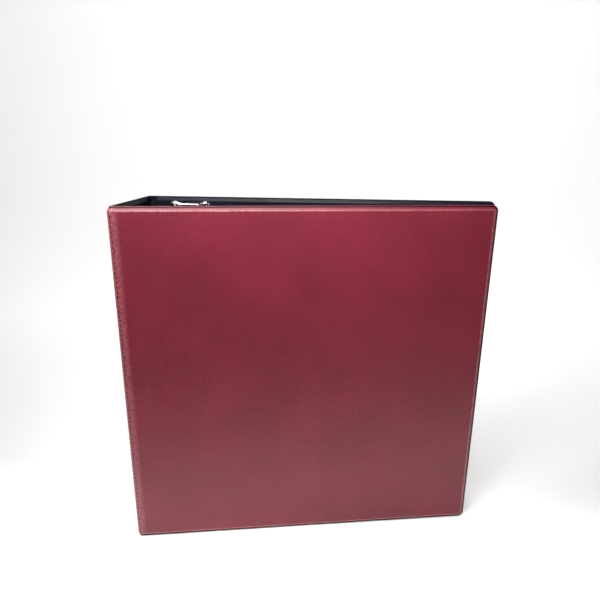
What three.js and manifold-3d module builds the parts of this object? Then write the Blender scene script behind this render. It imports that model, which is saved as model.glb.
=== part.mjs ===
// Ring album: two stiff covers and a wide spine, each a board sealed between a grained
// outer vinyl sheet and a smooth inner one, joined by two flexible hinge strips. A D-ring
// mechanism is riveted to the inside of the back cover: an arched plate holds two rails,
// each rail carries one half of every ring, and a lever at each end snaps the rails over.
//
// Millimetres, +Z up. The album stands on its lower edges. +X runs from the spine to the
// fore-edge and -Y is the side that the front cover faces. The drawing frame has its corner
// where the outer faces of the spine and the back cover meet; the last lines move the
// origin to the middle of the footprint.

import * as THREE from 'three';
import { mergeVertices } from 'three/addons/utils/BufferGeometryUtils.js';
import Module from 'manifold-3d';

const wasm = await Module();
wasm.setup();

const { degToRad } = THREE.MathUtils;
const QUARTER = Math.PI / 2;

// Covers and spine
const COVER_HEIGHT = 292;
const COVER_WIDTH = 301.5;
const SPINE_DEPTH = 88.3;
const WEDGE_ANGLE = degToRad(10.4);
const HINGE_GAP = 6;
const SHEET = 0.6;
const BOARD = 2.4;
const GAP = 0.3;
const PANEL_THICKNESS = 2 * SHEET + BOARD + 2 * GAP;
const WELD_RIM = 3.6;
const WELD_BEVEL = 2.4;
const BEVEL_RISE = 1.8;
const CORNER_RADIUS = 5;
const HINGE_CORNER_RADIUS = 2.6;
const BOARD_CORNER_RADIUS = 1;

// Hinge strips: both sheets welded into one band that rounds the corner
const STRIP_THICKNESS = 1;
const STRIP_RECESS = 0.5;
const STRIP_RADIUS = 3;
const STRIP_END_INSET = 1;

// Ring mechanism, centred on the back cover's height
const MECHANISM_FROM_SPINE = 43.5;
const RING_SPACING = 108;
const PLATE_HALF_WIDTH = 20;
const PLATE_HEIGHT = 10.8;
const PLATE_SHOULDER = 7.3;
const PLATE_SHEET = 1;
const CROWN_HALF_LENGTH = 119;
const EAR_HALF_LENGTH = 125.2;
const EAR_SQUARING = 0.2;
const RAIL_THICKNESS = 1;
const RAIL_PIVOT_OFFSET = 18.3;
const RAIL_PIVOT_HEIGHT = 4.8;
const RAIL_HALF_LENGTH = 117.5;
const RAIL_TILT = degToRad(5.5);

// Rings
const WIRE_RADIUS = 2.2;
const WIRE_SIDES = 10;
const WIRE_LINE_POINTS = 37;
const WIRE_STEPS = 26;
const RING_LEG_OFFSET = 13;
const RING_ROOT_HEIGHT = 5.4;
const RING_TOP_HEIGHT = 63.1;
const RING_BULGE_OFFSET = 25;
const RING_BULGE_HEIGHT = 34;
const BOW_ROOT_PULL = [1, 3];
const BOW_LOWER_PULL = 15;
const BOW_UPPER_PULL = 19;
const BOW_TOP_PULL = 3;
const POST_BEND_RADIUS = 11;
const SPIGOT_RADIUS = 1.3;
const SPIGOT_SINK = 0.4;
const SPIGOT_HOLE_RADIUS = 1.8;
const STAKED_RADIUS = 2.1;
const STAKED_DEPTH = 0.7;

// Slots for the ring legs: clear on both sides of the wire, and longer on the outer one
const SLOT_SIDE_CLEARANCE = 0.6;
const SLOT_INNER_CLEARANCE = 0.8;
const SLOT_OUTER_CLEARANCE = 2.2;

// Levers and their pins
const LEVER_PIVOT_HEIGHT = 4.3;
const LEVER_PIVOT_FROM_CENTRE = 122.2;
const LEVER_LENGTH = 24;
const LEVER_LEAN = degToRad(30);
const LEVER_HALF_WIDTH = 17;
const LEVER_NECK_HALF_WIDTH = 12;
const LEVER_FLARE_LENGTH = 14;
const LEVER_EAR_RADIUS = 4;
const LEVER_DIP = 2.2;
const LEVER_DIP_BEND = 3;
const LEVER_DIP_START = 5;
const LEVER_SHEET = 1.1;
const LEVER_FLANGE = 2.8;
const LEVER_FOOT_LENGTH = 10;
const LEVER_FOOT_HALF_WIDTH = 5;
const KNUCKLE_RADIUS = 2.4;
const KNUCKLE_HALF_LENGTH = 18.3;
const PIN_RADIUS = 1;
const PIN_HEAD_RADIUS = 1.9;
const PIN_HEAD_THICKNESS = 0.8;

// Mounting rivets
const RIVET_RADIUS = 3;
const RIVET_HEAD_RADIUS = 5.5;
const RIVET_HEAD_HEIGHT = 1.3;
const RIVET_HEAD_EDGE = 0.26;
const RIVET_HEAD_BEND_RADIUS = 3.3;
const RIVET_HEAD_BEND_HEIGHT = 1.1;
const RIVET_FROM_CENTRE = RING_SPACING / 2;

// How finely curves are divided
const ROUND_SEGMENTS = 20;
const CORNER_SEGMENTS = 4;
const ARCH_SEGMENTS = 12;

const outerVinyl = new THREE.MeshStandardMaterial({ color: 0x7a2433, roughness: 0.45, metalness: 0 });
const linerVinyl = new THREE.MeshStandardMaterial({ color: 0x15161c, roughness: 0.28, metalness: 0 });
const board = new THREE.MeshStandardMaterial({ color: 0x8f8778, roughness: 0.95, metalness: 0 });
const nickelPlate = new THREE.MeshStandardMaterial({ color: 0xc9cbce, roughness: 0.14, metalness: 1 });
const railSteel = new THREE.MeshStandardMaterial({ color: 0x9a9da1, roughness: 0.35, metalness: 1 });

// ---- solids -------------------------------------------------------------------------

function toSolid(geometry) {
  const bare = geometry.clone();
  bare.deleteAttribute('normal');
  bare.deleteAttribute('uv');
  const merged = mergeVertices(bare, 1e-4);
  return new wasm.Manifold(new wasm.Mesh({
    numProp: 3,
    vertProperties: new Float32Array(merged.attributes.position.array),
    triVerts: new Uint32Array(merged.index.array),
  }));
}

function toGeometry(solid) {
  const mesh = solid.getMesh();
  const geometry = new THREE.BufferGeometry();
  geometry.setAttribute('position', new THREE.BufferAttribute(mesh.vertProperties, 3));
  geometry.setIndex(new THREE.BufferAttribute(mesh.triVerts, 1));
  geometry.computeVertexNormals();
  return geometry;
}

function cut(body, ...tools) {
  const solid = tools.reduce((rest, tool) => rest.subtract(toSolid(tool)), toSolid(body));
  return toGeometry(solid);
}

function join(first, ...others) {
  const solid = others.reduce((whole, part) => whole.add(toSolid(part)), toSolid(first));
  return toGeometry(solid);
}

function block([x0, x1], [y0, y1], [z0, z1]) {
  const box = new THREE.BoxGeometry(x1 - x0, y1 - y0, z1 - z0);
  return box.translate((x0 + x1) / 2, (y0 + y1) / 2, (z0 + z1) / 2);
}

// A cylinder along Y between two heights.
function upright(radius, y0, y1, x = 0, z = 0) {
  const cylinder = new THREE.CylinderGeometry(radius, radius, y1 - y0, ROUND_SEGMENTS);
  return cylinder.translate(x, (y0 + y1) / 2, z);
}

// A cylinder along X, centred on x = 0.
function crosswise(radius, halfLength, y = 0, z = 0) {
  const cylinder = new THREE.CylinderGeometry(radius, radius, 2 * halfLength, ROUND_SEGMENTS);
  return cylinder.rotateZ(QUARTER).translate(0, y, z);
}

// An outline drawn as (x, z), made solid from y = from to y = to.
function sheetBetween(shape, from, to) {
  const slab = new THREE.ExtrudeGeometry(shape, {
    depth: to - from, bevelEnabled: false, curveSegments: CORNER_SEGMENTS,
  });
  return slab.rotateX(QUARTER).translate(0, to, 0);
}

function named(name, geometry, material) {
  const mesh = new THREE.Mesh(geometry, material);
  mesh.name = name;
  return mesh;
}

// ---- covers and spine ---------------------------------------------------------------

// A rectangle from x = start to x = end, centred on z = 0, with its own radius at each end.
function panelOutline(start, end, height, startRadius, endRadius) {
  const half = height / 2;
  const shape = new THREE.Shape();
  shape.moveTo(start + startRadius, -half);
  shape.lineTo(end - endRadius, -half);
  shape.absarc(end - endRadius, -half + endRadius, endRadius, -QUARTER, 0);
  shape.lineTo(end, half - endRadius);
  shape.absarc(end - endRadius, half - endRadius, endRadius, 0, QUARTER);
  shape.lineTo(start + startRadius, half);
  shape.absarc(start + startRadius, half - startRadius, startRadius, QUARTER, 2 * QUARTER);
  shape.lineTo(start, -half + startRadius);
  shape.absarc(start + startRadius, -half + startRadius, startRadius, 2 * QUARTER, 3 * QUARTER);
  return shape;
}

// The outer sheet: a shallow tray over the board, bevelled down to the welded rim.
function outerTray(start, end, startRadius, endRadius) {
  const rimDepth = PANEL_THICKNESS - SHEET - GAP;
  const face = panelOutline(
    start + WELD_BEVEL, end - WELD_BEVEL, COVER_HEIGHT - 2 * WELD_BEVEL,
    startRadius - WELD_BEVEL, endRadius - WELD_BEVEL,
  );
  const bevelled = new THREE.ExtrudeGeometry(face, {
    depth: PANEL_THICKNESS, bevelThickness: BEVEL_RISE, bevelSize: WELD_BEVEL,
    bevelSegments: 1, curveSegments: CORNER_SEGMENTS,
  }).rotateX(QUARTER).translate(0, PANEL_THICKNESS + BEVEL_RISE, 0);
  const beyondRim = block(
    [start - 1, end + 1], [rimDepth, 3 * PANEL_THICKNESS], [-COVER_HEIGHT, COVER_HEIGHT],
  );
  const pocketInset = WELD_RIM - GAP;
  const pocket = block(
    [start + pocketInset, end - pocketInset], [SHEET, 2 * PANEL_THICKNESS],
    [-COVER_HEIGHT / 2 + pocketInset, COVER_HEIGHT / 2 - pocketInset],
  );
  return cut(bevelled, beyondRim, pocket);
}

// One panel in its own frame: x = 0 is the corner line that it hinges about, its outer
// face is y = 0, and its inner face is y = PANEL_THICKNESS.
function panel(name, start, end, startRadius, endRadius, holes = []) {
  const boardOutline = panelOutline(
    start + WELD_RIM, end - WELD_RIM, COVER_HEIGHT - 2 * WELD_RIM,
    BOARD_CORNER_RADIUS, BOARD_CORNER_RADIUS,
  );
  const linerOutline = panelOutline(start, end, COVER_HEIGHT, startRadius, endRadius);
  const boardFace = SHEET + GAP;
  const linerFace = PANEL_THICKNESS - SHEET;
  const tray = outerTray(start, end, startRadius, endRadius);
  const slab = sheetBetween(boardOutline, boardFace, boardFace + BOARD);
  const liner = sheetBetween(linerOutline, linerFace, PANEL_THICKNESS);
  const group = new THREE.Group();
  group.add(
    named(`${name}_vinyl`, cut(tray, ...holes), outerVinyl),
    named(`${name}_board`, cut(slab, ...holes), board),
    named(`${name}_liner`, cut(liner, ...holes), linerVinyl),
  );
  return group;
}

// A band that rounds the corner between two panels, in the frame of the first one. The
// second panel leaves the corner at the given angle, on the first panel's inner side.
function hingeStrip(name, angle) {
  const outer = STRIP_RADIUS;
  const inner = STRIP_RADIUS - STRIP_THICKNESS;
  const centreDepth = STRIP_RECESS + STRIP_RADIUS;
  const centre = new THREE.Vector2(centreDepth / Math.tan(angle / 2), centreDepth);
  const reach = HINGE_GAP - GAP;
  const along = new THREE.Vector2(Math.cos(angle), Math.sin(angle));
  const inward = new THREE.Vector2(Math.sin(angle), -Math.cos(angle));
  const onSecond = (distance, depth) => (
    along.clone().multiplyScalar(distance).addScaledVector(inward, depth)
  );
  const secondStart = onSecond(reach, STRIP_RECESS);
  const secondEnd = onSecond(reach, STRIP_RECESS + STRIP_THICKNESS);
  const turnStart = -QUARTER;
  const turnEnd = angle - 3 * QUARTER;
  const shape = new THREE.Shape();
  shape.moveTo(reach, STRIP_RECESS);
  shape.lineTo(centre.x, STRIP_RECESS);
  shape.absarc(centre.x, centre.y, outer, turnStart, turnEnd, true);
  shape.lineTo(secondStart.x, secondStart.y);
  shape.lineTo(secondEnd.x, secondEnd.y);
  shape.absarc(centre.x, centre.y, inner, turnEnd, turnStart, false);
  shape.lineTo(reach, STRIP_RECESS + STRIP_THICKNESS);
  const height = COVER_HEIGHT - 2 * STRIP_END_INSET;
  const band = new THREE.ExtrudeGeometry(shape, {
    depth: height, bevelEnabled: false, curveSegments: 2 * CORNER_SEGMENTS,
  });
  return named(name, band.translate(0, 0, -height / 2), outerVinyl);
}

// ---- ring mechanism -----------------------------------------------------------------
// Its frame has the centre line of the plate at x = 0, +X towards the spine, +Y up off the
// inner face of the back cover, and z = 0 at half the cover's height.

// The plate: an arch bent from one sheet, with slots for the ring legs, holes for the
// rivets, and its side walls left standing at both ends as ears for the lever pins.
function ringPlate() {
  const rise = PLATE_HEIGHT - PLATE_SHOULDER;
  const archRadius = (PLATE_HALF_WIDTH ** 2 + rise ** 2) / (2 * rise);
  const archCentre = PLATE_HEIGHT - archRadius;
  const archAngle = Math.asin(PLATE_HALF_WIDTH / archRadius);
  const innerHalf = PLATE_HALF_WIDTH - PLATE_SHEET;
  const innerRadius = archRadius - PLATE_SHEET;
  const innerAngle = Math.asin(innerHalf / innerRadius);
  const section = new THREE.Shape();
  section.moveTo(PLATE_HALF_WIDTH, GAP);
  section.lineTo(PLATE_HALF_WIDTH, PLATE_SHOULDER);
  section.absarc(0, archCentre, archRadius, QUARTER - archAngle, QUARTER + archAngle, false);
  section.lineTo(-PLATE_HALF_WIDTH, GAP);
  section.lineTo(-innerHalf, GAP);
  section.absarc(0, archCentre, innerRadius, QUARTER + innerAngle, QUARTER - innerAngle, true);
  section.lineTo(innerHalf, GAP);
  const arch = new THREE.ExtrudeGeometry(section, {
    depth: 2 * EAR_HALF_LENGTH, bevelEnabled: false, curveSegments: ARCH_SEGMENTS,
  }).translate(0, 0, -EAR_HALF_LENGTH);
  const aboveEars = [PLATE_SHOULDER - EAR_SQUARING, PLATE_HEIGHT + 1];
  const across = [-PLATE_HALF_WIDTH - 1, PLATE_HALF_WIDTH + 1];
  const crownEnds = [-1, 1].map((end) => block(
    across, aboveEars,
    end > 0 ? [CROWN_HALF_LENGTH, EAR_HALF_LENGTH + 1] : [-EAR_HALF_LENGTH - 1, -CROWN_HALF_LENGTH],
  ));
  const pinHoles = [-1, 1].map((end) => crosswise(
    PIN_RADIUS + GAP, PLATE_HALF_WIDTH + 1, LEVER_PIVOT_HEIGHT, end * LEVER_PIVOT_FROM_CENTRE,
  ));
  return cut(arch, ...crownEnds, ...pinHoles, ...legSlots(), ...rivetHoles(0, PLATE_HEIGHT + 1));
}

// Slots in the plate, long enough across it for a ring leg to swing outwards.
function legSlots() {
  const halfLength = WIRE_RADIUS + SLOT_SIDE_CLEARANCE;
  const inner = RING_LEG_OFFSET - WIRE_RADIUS - SLOT_INNER_CLEARANCE;
  const outer = RING_LEG_OFFSET + WIRE_RADIUS + SLOT_OUTER_CLEARANCE;
  const heights = [PLATE_SHOULDER - 1, PLATE_HEIGHT + 1];
  return ringPlaces().flatMap(({ z }) => [
    block([inner, outer], heights, [z - halfLength, z + halfLength]),
    block([-outer, -inner], heights, [z - halfLength, z + halfLength]),
  ]);
}

function rivetHoles(from, to, x = 0) {
  return rivetPlaces().map(({ z }) => upright(RIVET_RADIUS + GAP, from, to, x, z));
}

function ringPlaces() {
  return [
    { place: 'upper', z: RING_SPACING },
    { place: 'middle', z: 0 },
    { place: 'lower', z: -RING_SPACING },
  ];
}

function rivetPlaces() {
  return [
    { place: 'upper', z: RIVET_FROM_CENTRE },
    { place: 'lower', z: -RIVET_FROM_CENTRE },
  ];
}

// A flat rail, drawn from its outer edge at x = 0 inwards to -X. Half-round notches clear
// the rivets, and round holes take the roots of the rings.
function rail(name) {
  const innerEdge = -(RAIL_PIVOT_OFFSET - GAP);
  const notchRadius = RIVET_RADIUS + 3 * GAP;
  const shape = new THREE.Shape();
  shape.moveTo(0, -RAIL_HALF_LENGTH);
  shape.lineTo(0, RAIL_HALF_LENGTH);
  shape.lineTo(innerEdge, RAIL_HALF_LENGTH);
  for (const { z } of rivetPlaces()) {
    shape.absarc(innerEdge, z, notchRadius, QUARTER, -QUARTER, true);
  }
  shape.lineTo(innerEdge, -RAIL_HALF_LENGTH);
  for (const { z } of ringPlaces()) {
    const hole = new THREE.Path();
    hole.absarc(-(RAIL_PIVOT_OFFSET - RING_LEG_OFFSET), z, SPIGOT_HOLE_RADIUS, 0, 4 * QUARTER, true);
    shape.holes.push(hole);
  }
  const mesh = named(name, sheetBetween(shape, -RAIL_THICKNESS / 2, RAIL_THICKNESS / 2), railSteel);
  mesh.position.set(RAIL_PIVOT_OFFSET, RAIL_PIVOT_HEIGHT, 0);
  mesh.rotation.z = RAIL_TILT;
  return mesh;
}

// The centre line of the bowed half: out of the plate, around towards the spine, and over.
// The pulls place the control points of its two curves.
function bowedLine() {
  const line = new THREE.Path();
  line.moveTo(RING_LEG_OFFSET, RING_ROOT_HEIGHT);
  line.lineTo(RING_LEG_OFFSET, PLATE_SHOULDER);
  line.bezierCurveTo(
    RING_LEG_OFFSET + BOW_ROOT_PULL[0], PLATE_HEIGHT + BOW_ROOT_PULL[1],
    RING_BULGE_OFFSET, RING_BULGE_HEIGHT - BOW_LOWER_PULL,
    RING_BULGE_OFFSET, RING_BULGE_HEIGHT,
  );
  line.bezierCurveTo(
    RING_BULGE_OFFSET, RING_BULGE_HEIGHT + BOW_UPPER_PULL,
    RING_LEG_OFFSET + BOW_TOP_PULL, RING_TOP_HEIGHT,
    GAP / 2, RING_TOP_HEIGHT,
  );
  return line;
}

// The centre line of the post: straight up, then over a tight bend to meet the bowed half.
function postLine() {
  const line = new THREE.Path();
  line.moveTo(-RING_LEG_OFFSET, RING_ROOT_HEIGHT);
  line.lineTo(-RING_LEG_OFFSET, RING_TOP_HEIGHT - POST_BEND_RADIUS);
  line.absarc(
    POST_BEND_RADIUS - RING_LEG_OFFSET, RING_TOP_HEIGHT - POST_BEND_RADIUS, POST_BEND_RADIUS,
    2 * QUARTER, QUARTER, true,
  );
  line.lineTo(-GAP / 2, RING_TOP_HEIGHT);
  return line;
}

// A ring half: round wire along its line, its root turned down to a spigot that passes
// through the rail and is staked over below it.
function ringHalf(name, line, legOffset, z) {
  const points = line.getSpacedPoints(WIRE_LINE_POINTS - 1)
    .map((point) => new THREE.Vector3(point.x, point.y, 0));
  const circle = new THREE.Shape();
  circle.absarc(0, 0, WIRE_RADIUS, 0, 4 * QUARTER, false);
  const wire = new THREE.ExtrudeGeometry(circle, {
    steps: WIRE_STEPS,
    extrudePath: new THREE.CatmullRomCurve3(points),
    curveSegments: WIRE_SIDES / 2,
  });
  const railUnderside = RAIL_PIVOT_HEIGHT - RAIL_THICKNESS
    - (RAIL_PIVOT_OFFSET - RING_LEG_OFFSET) * Math.tan(RAIL_TILT);
  const stakedTop = railUnderside - GAP / 2;
  const spigot = upright(SPIGOT_RADIUS, stakedTop - SPIGOT_SINK, RING_ROOT_HEIGHT + 1, legOffset);
  const staked = upright(STAKED_RADIUS, stakedTop - STAKED_DEPTH, stakedTop, legOffset);
  const mesh = named(name, join(wire, spigot, staked), nickelPlate);
  mesh.position.z = z;
  return mesh;
}

// A lever in the frame of its pin: the handle runs along +Z and the foot along -Z. The
// handle is a shallow pressed pan with two rounded ears, and its foot lies under the rails.
function lever(name) {
  const handle = leverPan().rotateX(-LEVER_LEAN);
  const knuckle = crosswise(KNUCKLE_RADIUS, KNUCKLE_HALF_LENGTH);
  const railFall = (RAIL_PIVOT_OFFSET - GAP) * Math.sin(RAIL_TILT);
  const railLowest = RAIL_PIVOT_HEIGHT - railFall - RAIL_THICKNESS / 2;
  const footTop = railLowest - GAP - LEVER_PIVOT_HEIGHT;
  const foot = block(
    [-LEVER_FOOT_HALF_WIDTH, LEVER_FOOT_HALF_WIDTH], [footTop - LEVER_SHEET, footTop],
    [-LEVER_FOOT_LENGTH, 0],
  );
  const pinHole = crosswise(PIN_RADIUS + GAP, KNUCKLE_HALF_LENGTH + 1);
  return named(name, cut(join(knuckle, handle, foot), pinHole), nickelPlate);
}

// The outline of the handle as (x, z): a neck that widens to two ears with a dip between.
function handleOutline(inset) {
  const half = LEVER_HALF_WIDTH - inset;
  const neck = LEVER_NECK_HALF_WIDTH - inset;
  const ear = LEVER_EAR_RADIUS - inset;
  const earCentre = half - ear;
  const tip = LEVER_LENGTH - inset;
  const dip = tip - LEVER_DIP;
  const shape = new THREE.Shape();
  shape.moveTo(-neck, 0);
  shape.lineTo(neck, 0);
  shape.lineTo(half, LEVER_FLARE_LENGTH);
  shape.lineTo(half, tip - ear);
  shape.absarc(earCentre, tip - ear, ear, 0, QUARTER, false);
  shape.quadraticCurveTo(earCentre - LEVER_DIP_BEND, tip, earCentre - LEVER_DIP_START, dip);
  shape.lineTo(LEVER_DIP_START - earCentre, dip);
  shape.quadraticCurveTo(LEVER_DIP_BEND - earCentre, tip, -earCentre, tip);
  shape.absarc(-earCentre, tip - ear, ear, QUARTER, 2 * QUARTER, false);
  shape.lineTo(-half, LEVER_FLARE_LENGTH);
  return shape;
}

function leverPan() {
  const outer = sheetBetween(handleOutline(0), -LEVER_FLANGE / 2, LEVER_FLANGE / 2);
  const hollow = sheetBetween(
    handleOutline(LEVER_SHEET), -LEVER_FLANGE, LEVER_FLANGE / 2 - LEVER_SHEET,
  );
  return cut(outer, hollow);
}

function leverPin(name) {
  const shank = PLATE_HALF_WIDTH + GAP;
  const end = shank + PIN_HEAD_THICKNESS;
  const profile = [
    [0, -end], [PIN_HEAD_RADIUS, -end], [PIN_HEAD_RADIUS, -shank], [PIN_RADIUS, -shank],
    [PIN_RADIUS, shank], [PIN_HEAD_RADIUS, shank], [PIN_HEAD_RADIUS, end], [0, end],
  ].map(([radius, height]) => new THREE.Vector2(radius, height));
  return named(name, new THREE.LatheGeometry(profile, ROUND_SEGMENTS).rotateZ(QUARTER), railSteel);
}

// A rivet through the plate, between the rails and through all three layers of the cover,
// with a low domed head at each end.
function mountingRivet(name, z) {
  const outside = -PANEL_THICKNESS - GAP;
  const inside = PLATE_HEIGHT + GAP;
  const profile = [
    [0, outside - RIVET_HEAD_HEIGHT],
    [RIVET_HEAD_BEND_RADIUS, outside - RIVET_HEAD_BEND_HEIGHT],
    [RIVET_HEAD_RADIUS, outside - RIVET_HEAD_EDGE],
    [RIVET_HEAD_RADIUS, outside],
    [RIVET_RADIUS, outside],
    [RIVET_RADIUS, inside],
    [RIVET_HEAD_RADIUS, inside],
    [RIVET_HEAD_RADIUS, inside + RIVET_HEAD_EDGE],
    [RIVET_HEAD_BEND_RADIUS, inside + RIVET_HEAD_BEND_HEIGHT],
    [0, inside + RIVET_HEAD_HEIGHT],
  ].map(([radius, height]) => new THREE.Vector2(radius, height));
  const mesh = named(name, new THREE.LatheGeometry(profile, ROUND_SEGMENTS), nickelPlate);
  mesh.position.z = z;
  return mesh;
}

// The rails and levers come in pairs: the second of each is the first turned half round
// about +Y.
function ringMechanism() {
  const mechanism = new THREE.Group();
  mechanism.add(named('ring_plate', ringPlate(), nickelPlate));
  const oppositeRail = new THREE.Group();
  oppositeRail.rotation.y = 2 * QUARTER;
  oppositeRail.add(rail('fore_edge_rail'));
  mechanism.add(rail('spine_side_rail'), oppositeRail);
  for (const { place, z } of ringPlaces()) {
    mechanism.add(ringHalf(`${place}_ring_bow`, bowedLine(), RING_LEG_OFFSET, z));
    mechanism.add(ringHalf(`${place}_ring_post`, postLine(), -RING_LEG_OFFSET, z));
  }
  for (const { place, z } of rivetPlaces()) {
    mechanism.add(mountingRivet(`${place}_mounting_rivet`, z));
  }
  for (const [place, turn] of [['upper', 0], ['lower', 2 * QUARTER]]) {
    const end = new THREE.Group();
    end.rotation.y = turn;
    const pair = new THREE.Group();
    pair.position.set(0, LEVER_PIVOT_HEIGHT, LEVER_PIVOT_FROM_CENTRE);
    pair.add(lever(`${place}_lever`), leverPin(`${place}_lever_pin`));
    end.add(pair);
    mechanism.add(end);
  }
  return mechanism;
}

// ---- assembly -----------------------------------------------------------------------

const throughCover = rivetHoles(-1, PANEL_THICKNESS + 1, MECHANISM_FROM_SPINE);

const backCover = panel(
  'back_cover', HINGE_GAP, COVER_WIDTH, HINGE_CORNER_RADIUS, CORNER_RADIUS, throughCover,
);
backCover.rotation.x = 2 * QUARTER;

const spine = panel(
  'spine', HINGE_GAP, SPINE_DEPTH - HINGE_GAP, HINGE_CORNER_RADIUS, HINGE_CORNER_RADIUS,
);
spine.add(hingeStrip('back_hinge_strip', QUARTER));
spine.rotation.z = -QUARTER;

const frontCover = panel('front_cover', HINGE_GAP, COVER_WIDTH, HINGE_CORNER_RADIUS, CORNER_RADIUS);
frontCover.add(hingeStrip('front_hinge_strip', QUARTER - WEDGE_ANGLE));
frontCover.position.y = -SPINE_DEPTH;
frontCover.rotation.z = WEDGE_ANGLE;

const mechanism = ringMechanism();
mechanism.position.set(MECHANISM_FROM_SPINE, -PANEL_THICKNESS, 0);
mechanism.rotation.z = 2 * QUARTER;

const album = new THREE.Group();
album.add(backCover, spine, frontCover, mechanism);

// The origin is the middle of the footprint, on the surface that the album stands on.
const extent = new THREE.Box3().setFromObject(album, true);
const footprint = extent.getCenter(new THREE.Vector3());
album.position.set(-footprint.x, -footprint.y, -extent.min.z);

export default album;
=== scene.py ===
"""Looks for the ring album: its vinyl sheets, ring mechanism, materials, camera and studio.

Lengths are millimetres in the album's drawing frame: x runs from the spine's outer face to
the fore-edge, y = 0 is the back cover's outer face with the front cover on the -y side, and
z = 0 is half the covers' height. place() turns them into the frame's metres. The ring
mechanism has a frame of its own: x towards the spine, y up off the back cover's inner face.
"""

import math

import bmesh
import bpy
from mathutils import Matrix, Vector

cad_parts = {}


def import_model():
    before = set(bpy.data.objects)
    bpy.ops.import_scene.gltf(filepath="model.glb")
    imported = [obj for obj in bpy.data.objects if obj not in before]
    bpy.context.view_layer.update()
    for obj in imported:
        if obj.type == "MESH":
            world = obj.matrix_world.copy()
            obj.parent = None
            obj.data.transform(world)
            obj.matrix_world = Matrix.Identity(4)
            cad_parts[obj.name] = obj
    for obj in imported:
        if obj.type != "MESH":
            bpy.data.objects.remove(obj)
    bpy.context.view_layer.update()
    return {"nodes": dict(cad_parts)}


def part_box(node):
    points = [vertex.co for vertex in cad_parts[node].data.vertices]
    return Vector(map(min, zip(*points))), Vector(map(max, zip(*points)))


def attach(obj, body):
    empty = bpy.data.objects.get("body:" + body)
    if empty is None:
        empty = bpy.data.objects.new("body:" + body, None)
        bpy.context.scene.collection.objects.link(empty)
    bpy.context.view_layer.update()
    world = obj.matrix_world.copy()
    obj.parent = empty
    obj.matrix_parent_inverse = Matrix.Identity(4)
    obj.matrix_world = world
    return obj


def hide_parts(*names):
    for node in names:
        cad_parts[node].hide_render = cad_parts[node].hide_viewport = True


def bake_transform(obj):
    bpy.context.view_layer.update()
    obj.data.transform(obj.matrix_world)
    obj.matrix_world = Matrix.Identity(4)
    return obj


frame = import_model()

MM = 0.001
QUARTER = math.pi / 2

# ---- sizes read off the frame --------------------------------------------------------

# How far each panel starts from the corner line that it hinges about
HINGE_GAP = 6.0


def wedge_angle():
    """How far the front cover leans towards the back one, from its largest flat face."""
    faces = frame["nodes"]["front_cover_liner"].data.polygons
    normal = max(faces, key=lambda face: face.area).normal
    return math.atan2(abs(normal.x), abs(normal.y))


spine_low, spine_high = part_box("spine_vinyl")
back_low, back_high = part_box("back_cover_vinyl")
liner_low, liner_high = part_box("back_cover_liner")
plate_low, plate_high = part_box("ring_plate")

ORIGIN = Vector((spine_low.x, back_high.y, (back_low.z + back_high.z) / 2))
COVER_WIDTH = (back_high.x - spine_low.x) / MM
COVER_HEIGHT = (back_high.z - back_low.z) / MM
SPINE_DEPTH = (back_high.y - spine_low.y) / MM + HINGE_GAP
PANEL_THICKNESS = (back_high.y - liner_low.y) / MM
WEDGE = wedge_angle()
MECHANISM_FROM_SPINE = ((plate_low.x + plate_high.x) / 2 - ORIGIN.x) / MM
PLATE_HALF_WIDTH = (plate_high.x - plate_low.x) / 2 / MM
PLATE_HALF_LENGTH = (plate_high.z - plate_low.z) / 2 / MM
PLATE_HEIGHT = (liner_low.y - plate_low.y) / MM

# ---- driving sizes -------------------------------------------------------------------

# Vinyl sheets
SHEET = 0.5
WELD_THICKNESS = 1.05
RIM_DEPTH = 2.0
RIM_WIDTH = 1.0
WELD_LINE = 1.0
WELD_HALF_WIDTH = 0.6
CREST_HALF_WIDTH = 0.5
BEVEL_END = 3.6
BEVEL_EASE = 0.3
CORNER_RADIUS = 5.0
HINGE_RADIUS = 3.5
CHANNEL_DEPTH = 0.3
CHANNEL_END = 6.3
BOARD_START = 9.3
CHANNEL_EASE = 0.5
CUT_EDGE = 0.5
CUT_THINNING = 0.9
TIGHT_LONG_WAVE = 0.035
TIGHT_SHORT_WAVE = 0.015
LOOSE_LONG_WAVE = 0.14
LOOSE_SHORT_WAVE = 0.05

# How pale the sheet is painted over the boards' edges, as wear and as a painted highlight, in shares of
# the fore-edge's paleness
TOP_WEAR_AND_HIGHLIGHT = 0.44
HINGE_WEAR_AND_HIGHLIGHT = 0.33

# Spacing of the sheets' mesh, and how far the close spacing runs on past a bend
FLAT_STEP = 6.0
BEND_STEP = 0.45
BEVEL_STEP = 0.3
CUT_STEP = 0.1
BEND_MARGIN = 1.0
CORNER_MARGIN = 0.5
CORNER_REACH = 3 * CORNER_RADIUS

# Weld marks along the hinges
MARK_PITCH = 3.85
MARK_LENGTH = 2.0
MARK_WIDTH = 0.85
MARK_PROUD = 0.05
MARK_TURN = 0.12
MARK_SIDES = 12

# Rings
RING_SPACING = 108.0
WIRE_RADIUS = 2.2
WIRE_SIDES = 28
LEG_OFFSET = 13.0
ROOT_HEIGHT = 5.4
RING_TOP = 63.1
BULGE_OFFSET = 25.0
BULGE_HEIGHT = 34.0
BOW_FOOT_PULL = (1.0, 3.0)
BOW_LOWER_PULL = 15.0
BOW_UPPER_PULL = 19.0
BOW_TIP_PULL = 3.0
POST_BEND = 11.0
STAKED_HEIGHT = 2.45
STAKED_RADIUS = 2.1
SPIGOT_RADIUS = 1.3
TONGUE_RADIUS = 0.85
TONGUE_LENGTH = 1.5
SOCKET_CLEARANCE = 0.3
JOINT_GAP = 0.15
TIP_LEAD = 0.2

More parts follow.
